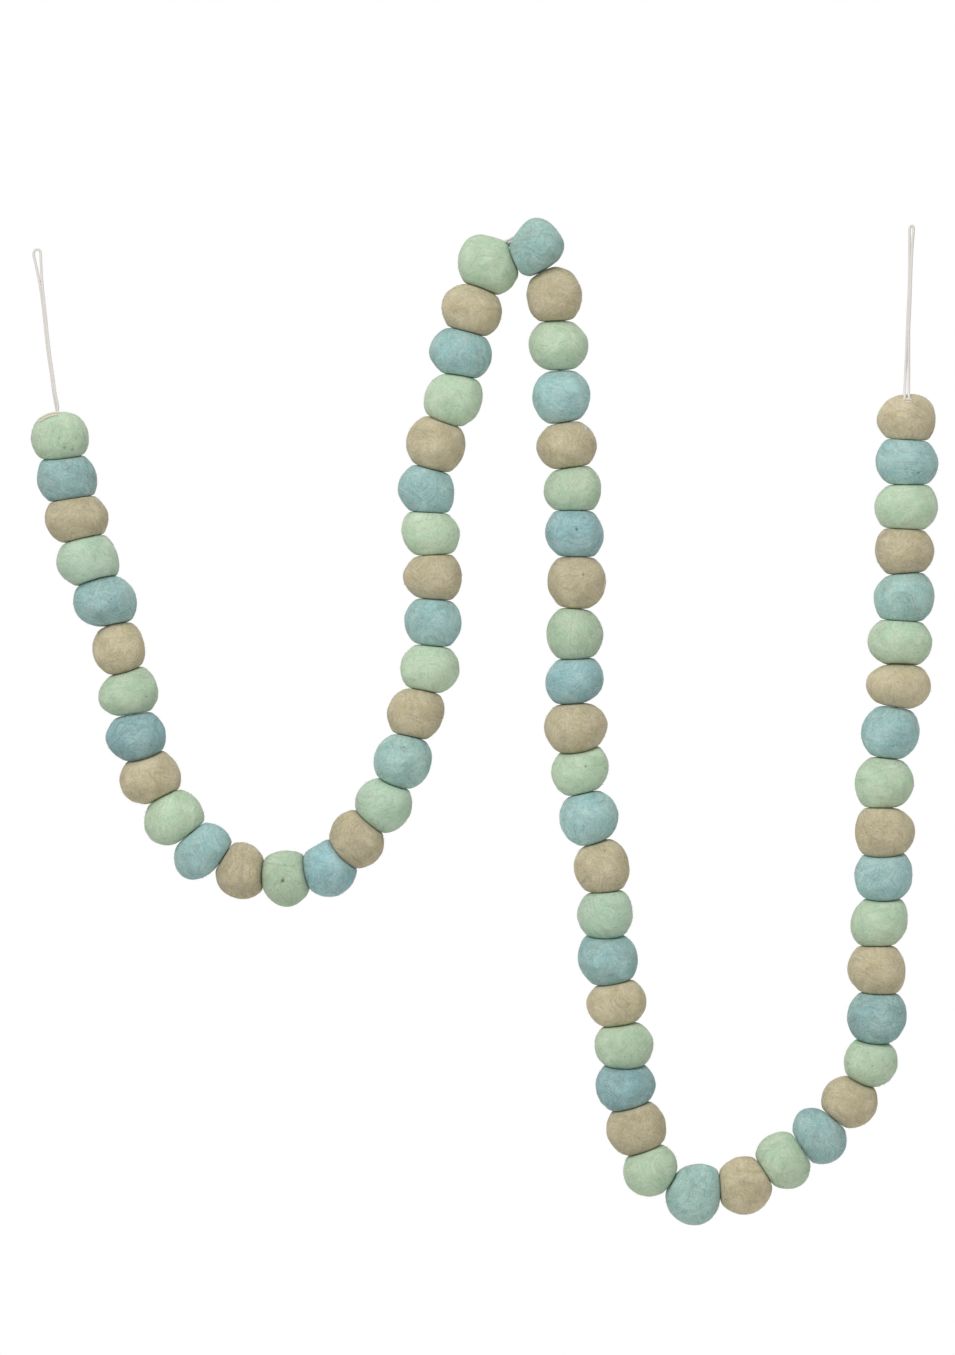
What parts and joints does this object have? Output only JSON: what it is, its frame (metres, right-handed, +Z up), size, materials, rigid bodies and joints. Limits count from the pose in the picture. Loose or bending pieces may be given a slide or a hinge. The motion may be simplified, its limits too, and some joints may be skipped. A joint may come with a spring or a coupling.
{
  "type": "felt ball garland",
  "caption": "Garland of pressed wool felt balls in mint, aqua and beige on a doubled string, hanging in two uneven swags with a string loop at each end.",
  "frame": {"origin": "top of the middle hook, where the string goes over it", "axes": "+Z up; the garland hangs in the XZ plane and its front faces -Y"},
  "size_m": [0.481, 0.0363, 0.5334],
  "materials": {
    "wool_mint": "matted wool felt, pale mint green",
    "wool_aqua": "matted wool felt, pale aqua blue",
    "wool_beige": "matted wool felt, warm beige",
    "cotton": "off-white twisted cotton string"
  },
  "bodies": {
    "root": {"ball_01": "wool_mint", "ball_02": "wool_aqua", "balls_03_04": "wool_beige", "ball_05": "wool_aqua", "ball_06": "wool_beige", "ball_07": "wool_mint", "ball_08": "wool_aqua", "ball_09": "wool_beige", "balls_10_11": "wool_mint", "ball_12": "wool_beige", "ball_13": "wool_mint", "ball_14": "wool_aqua", "ball_15": "wool_beige", "ball_16": "wool_mint", "balls_17_18": "wool_aqua", "ball_19": "wool_mint", "ball_20": "wool_aqua", "ball_21": "wool_beige", "ball_22": "wool_mint", "ball_23": "wool_aqua", "balls_24_25": "wool_beige", "ball_26": "wool_aqua", "ball_27": "wool_beige", "ball_28": "wool_mint", "ball_29": "wool_aqua", "ball_30": "wool_beige", "balls_31_32": "wool_mint", "ball_33": "wool_beige", "ball_34": "wool_mint", "ball_35": "wool_aqua", "ball_36": "wool_beige", "ball_37": "wool_mint", "balls_38_39": "wool_aqua", "ball_40": "wool_mint", "ball_41": "wool_aqua", "ball_42": "wool_beige", "ball_43": "wool_mint", "ball_44": "wool_aqua", "balls_45_46": "wool_beige", "ball_47": "wool_aqua", "ball_48": "wool_beige", "ball_49": "wool_mint", "ball_50": "wool_aqua", "ball_51": "wool_beige", "balls_52_53": "wool_mint", "ball_54": "wool_beige", "ball_55": "wool_mint", "ball_56": "wool_aqua", "ball_57": "wool_beige", "ball_58": "wool_mint", "balls_59_60": "wool_aqua", "ball_61": "wool_mint", "ball_62": "wool_aqua", "ball_63": "wool_beige", "ball_64": "wool_mint", "ball_65": "wool_aqua", "balls_66_67": "wool_beige", "ball_68": "wool_aqua", "ball_69": "wool_beige", "string": "cotton"}
  },
  "joints": []
}
